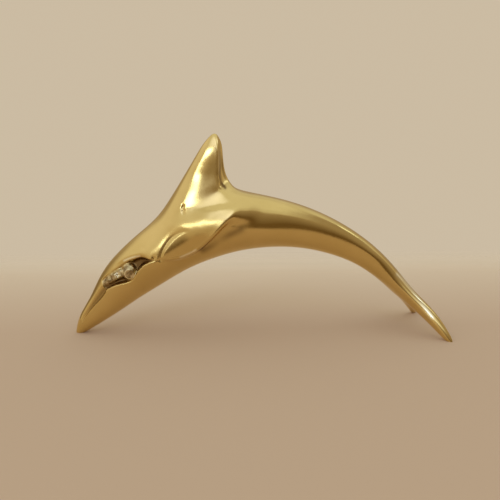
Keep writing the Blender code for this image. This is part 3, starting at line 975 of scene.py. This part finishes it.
def build_floor():
    """A plain pale cloth, paler further off, that fades into the wall behind it."""
    far = CLOTH_REACH
    corners = [(-far, -far, 0.0), (far, -far, 0.0), (far, far, 0.0), (-far, far, 0.0)]
    mesh = bpy.data.meshes.new("cloth_floor")
    mesh.from_pydata(corners, [], [(0, 1, 2, 3)])
    floor = bpy.data.objects.new("cloth_floor", mesh)
    cloth, nodes = new_material("pale_cloth")
    shader = nodes.tree.nodes["Principled BSDF"]
    shader.inputs["Roughness"].default_value = CLOTH_ROUGHNESS
    place = nodes.add("TexCoord").outputs["Object"]
    reach = nodes.add("VectorMath", operation="LENGTH")
    nodes.join(place, reach.inputs[0])
    away = nodes.axes(place)["Y"]
    paler = nodes.range(away, *CLOTH_PALER)
    nodes.join(nodes.mix(paler, CLOTH_NEAR, CLOTH_FAR), shader.inputs["Base Color"])
    gone = nodes.greatest(
        nodes.range(away, *CLOTH_FADE_BEHIND),
        nodes.range(away, *CLOTH_FADE_BEFORE, 1.0, 0.0),
        nodes.range(reach.outputs["Value"], *CLOTH_FADE_ROUND),
    )
    clear = nodes.add("BsdfTransparent").outputs[0]
    surface = nodes.tree.nodes["Material Output"].inputs["Surface"]
    nodes.fade(gone, shader.outputs[0], clear, surface)
    mesh.materials.append(cloth)
    bpy.context.scene.collection.objects.link(floor)


def direction(azimuth, elevation):
    """The way towards a place in the room, by degrees round from the camera and up."""
    turn, rise = math.radians(azimuth), math.radians(elevation)
    level = math.cos(rise)
    return Vector((math.sin(turn) * level, -math.cos(turn) * level, math.sin(rise)))


def build_world():
    """A plain pale room, paler overhead, along its left wall and round the window."""
    world = bpy.data.worlds.new("pale_room")
    bpy.context.scene.world = world
    world.use_nodes = True
    nodes = Nodes(world.node_tree)
    way = nodes.add("TexCoord").outputs["Generated"]
    axes = nodes.axes(way)
    colour = nodes.mix(nodes.patch(axes, CEILING_PATCH), WALL, CEILING)
    colour = nodes.mix(nodes.patch(axes, LEFT_WALL_PATCH), colour, LEFT_WALL)
    by_window = nodes.add("VectorMath", operation="DOT_PRODUCT")
    nodes.join(way, by_window.inputs[0])
    by_window.inputs[1].default_value = direction(*GLOW_ANGLE)
    glow = nodes.range(by_window.outputs["Value"], *GLOW_EDGE)
    colour = nodes.mix(glow, colour, GLOW)
    nodes.join(colour, world.node_tree.nodes["Background"].inputs["Color"])


def build_unlit_part():
    """The unlit parts of the room beside and behind the camera, which only the metal shows."""
    mesh = bpy.data.meshes.new("unlit_part")
    dome = bmesh.new()
    bmesh.ops.create_uvsphere(dome, u_segments=48, v_segments=24, radius=UNLIT_DISTANCE)
    dome.to_mesh(mesh)
    dome.free()
    card, nodes = new_material("unlit_part")
    nodes.tree.nodes.remove(nodes.tree.nodes["Principled BSDF"])
    way = nodes.add("VectorMath", operation="NORMALIZE")
    nodes.join(nodes.add("TexCoord").outputs["Object"], way.inputs[0])
    axes = nodes.axes(way.outputs[0])
    mask = nodes.greatest(*[nodes.patch(axes, ramps) for ramps in UNLIT_PATCHES])
    dark = nodes.add("Emission")
    tone = nodes.mix(nodes.range(axes["Z"], *UNLIT_RISE), UNLIT_LOW, UNLIT_HIGH)
    nodes.join(tone, dark.inputs["Color"])
    clear = nodes.add("BsdfTransparent").outputs[0]
    surface = nodes.tree.nodes["Material Output"].inputs["Surface"]
    nodes.fade(mask, clear, dark.outputs[0], surface)
    mesh.materials.append(card)
    part = bpy.data.objects.new("unlit_part", mesh)
    part.location = MIDDLE
    part.visible_camera = False
    part.visible_diffuse = False
    part.visible_shadow = False
    bpy.context.scene.collection.objects.link(part)


def build_lamp(name, azimuth, elevation, size, radiance):
    """A soft box that faces the figure, at an angle from the camera's side."""
    way = direction(azimuth, elevation)
    data = bpy.data.lights.new(name, "AREA")
    data.shape = "RECTANGLE"
    data.size, data.size_y = size
    data.energy = radiance * math.pi * size[0] * size[1]
    data.color = DAYLIGHT
    lamp = bpy.data.objects.new(name, data)
    lamp.location = MIDDLE + way * LAMP_DISTANCE
    lamp.rotation_euler = (-way).to_track_quat("-Z", "Y").to_euler()
    bpy.context.scene.collection.objects.link(lamp)


def build_camera():
    """A phone camera a little above the figure, nearly square to its side."""
    data = bpy.data.cameras.new("photo_camera")
    data.sensor_width = SENSOR_WIDTH
    data.lens = LENS
    camera = bpy.data.objects.new("photo_camera", data)
    camera.location = CAMERA_PLACE
    camera.rotation_euler = (math.radians(CAMERA_TILT), 0.0, math.radians(CAMERA_TURN))
    bpy.context.scene.collection.objects.link(camera)
    bpy.context.scene.camera = camera


def main():
    casting = build_casting()
    casting.data.materials.append(brass_material())
    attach(casting, "root")
    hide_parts("dolphin")
    build_floor()
    build_world()
    for lamp in LAMPS:
        build_lamp(*lamp)
    build_unlit_part()
    build_camera()
    bpy.context.scene.view_settings.view_transform = "Standard"


main()
